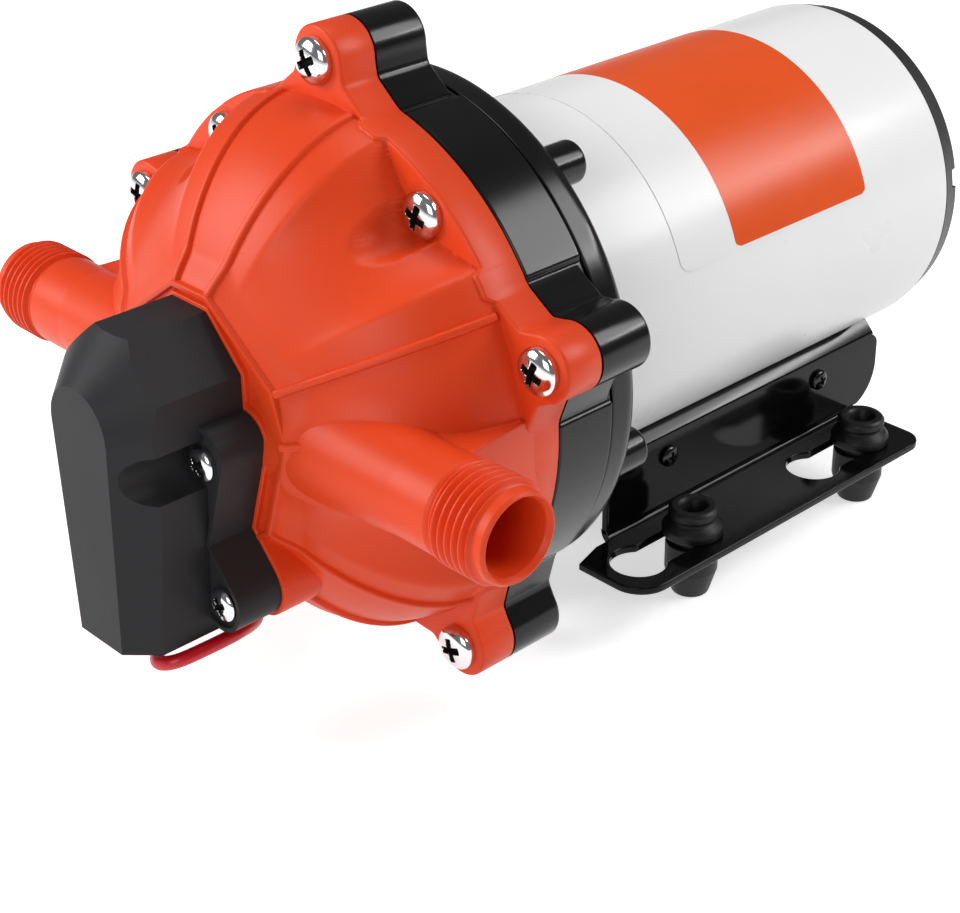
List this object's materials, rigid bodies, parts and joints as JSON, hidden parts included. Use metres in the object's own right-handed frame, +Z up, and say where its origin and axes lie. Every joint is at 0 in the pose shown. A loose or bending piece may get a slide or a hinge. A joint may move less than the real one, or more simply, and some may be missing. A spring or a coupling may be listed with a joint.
{
  "type": "diaphragm water pump",
  "caption": "Motor-driven diaphragm water pump with threaded side ports, a front pressure switch and a base on rubber feet.",
  "frame": {"origin": "centre of the four foot screw holes, on the mounting surface", "axes": "+Z up from the mounting surface, +Y along the pump axis towards the motor's rear, +X to the outlet side"},
  "size_m": [0.157, 0.2262, 0.148],
  "materials": {
    "cover_orange": "satin moulded plastic",
    "screw_chrome": "bright plated",
    "housing_black": "gloss moulded plastic",
    "valve_white": "plain moulded plastic",
    "seal_rubber": "matt rubber",
    "screw_steel": "plain steel",
    "wobble_grey": "plain moulded plastic",
    "ground_steel": "ground steel",
    "cage_brass": "pressed brass",
    "plate_aluminium": "cast aluminium",
    "can_white": "gloss white paint",
    "magnet_grey": "sintered ferrite",
    "core_steel": "stacked sheet steel",
    "winding_copper": "enamelled copper",
    "brush_board": "laminate board",
    "brush_carbon": "pressed carbon",
    "spring_steel": "spring steel",
    "bush_bronze": "sintered bronze",
    "cap_black": "satin moulded plastic",
    "label_orange": "plain glossy sticker",
    "rail_black": "gloss black paint",
    "foot_rubber": "satin rubber",
    "switch_grey": "satin moulded plastic",
    "micro_black": "moulded plastic",
    "button_red": "moulded plastic",
    "lead_red": "soft insulation"
  },
  "bodies": {
    "pump": {"front_cover": "cover_orange", "cover_lug_screws": "screw_chrome", "cover_inner_screws": "screw_chrome", "drive_housing": "housing_black", "valve_plate": "valve_white", "inlet_valves": "seal_rubber", "outlet_valve": "seal_rubber", "cover_seal": "seal_rubber", "diaphragm": "seal_rubber", "front_bearing_outer": "ground_steel", "motor_front_plate": "plate_aluminium", "motor_screws": "screw_steel", "motor_can": "can_white", "field_magnets": "magnet_grey", "brush_plate": "brush_board", "brush_holders": "cage_brass", "brushes": "brush_carbon", "brush_springs": "spring_steel", "rear_bush": "bush_bronze", "motor_end_cap": "cap_black", "motor_label": "label_orange", "motor_cradle": "rail_black", "rail_left": "rail_black", "rail_right": "rail_black", "rail_screws": "screw_chrome", "foot_front_left": "foot_rubber", "foot_front_right": "foot_rubber", "foot_rear_left": "foot_rubber", "foot_rear_right": "foot_rubber", "switch_housing": "switch_grey", "switch_screws": "screw_chrome", "switch_base": "switch_grey", "switch_diaphragm": "seal_rubber", "switch_spring": "spring_steel", "microswitch": "micro_black", "switch_lead": "lead_red", "lead_grommets": "seal_rubber"},
    "rotor": {"motor_shaft": "ground_steel", "drive_cam": "ground_steel", "cam_set_screw": "screw_steel", "wobble_bearing_inner": "ground_steel", "front_bearing_inner": "ground_steel", "armature_core": "core_steel", "armature_windings": "winding_copper", "commutator": "winding_copper"},
    "wobbler": {"wobble_plate": "wobble_grey", "wobble_bearing_outer": "ground_steel", "pistons": "valve_white", "piston_screws": "screw_steel", "diaphragm_lobes": "seal_rubber"},
    "wobble_cage": {"wobble_bearing_balls": "ground_steel", "wobble_bearing_cage": "cage_brass"},
    "front_cage": {"front_bearing_balls": "ground_steel", "front_bearing_cage": "cage_brass"},
    "plunger": {"switch_plunger": "valve_white"},
    "button": {"microswitch_button": "button_red"}
  },
  "joints": [
    {"name": "rotor_spin", "type": "hinge", "parent": "pump", "child": "rotor", "pos_m": [0, -0.04125, 0.076], "axis": [0, 1, 0], "continuous": true},
    {"name": "wobble_swash", "type": "hinge", "parent": "rotor", "child": "wobbler", "pos_m": [0, -0.08875, 0.076], "axis": [0, 0.9986, 0.0523], "continuous": true},
    {"name": "wobble_cage_spin", "type": "hinge", "parent": "rotor", "child": "wobble_cage", "pos_m": [0, -0.08875, 0.076], "axis": [0, 0.9986, 0.0523], "continuous": true},
    {"name": "front_cage_spin", "type": "hinge", "parent": "pump", "child": "front_cage", "pos_m": [0, -0.07575, 0.076], "axis": [0, 1, 0], "continuous": true},
    {"name": "plunger_slide", "type": "slide", "parent": "pump", "child": "plunger", "axis": [0, -1, 0], "range_m": [0, 0.0012], "stiffness_N_per_m": 2000, "springref_m": -0.001, "deforming": ["switch_spring"]},
    {"name": "button_slide", "type": "slide", "parent": "pump", "child": "button", "axis": [0, -1, 0], "range_m": [0, 0.0009]}
  ],
  "couplings": [
    {"joint": "wobble_swash", "follows": "rotor_spin", "ratio": -1},
    {"joint": "wobble_cage_spin", "follows": "rotor_spin", "ratio": -0.595},
    {"joint": "front_cage_spin", "follows": "rotor_spin", "ratio": 0.39667},
    {"joint": "button_slide", "follows": "plunger_slide", "ratio": 0.75}
  ]
}
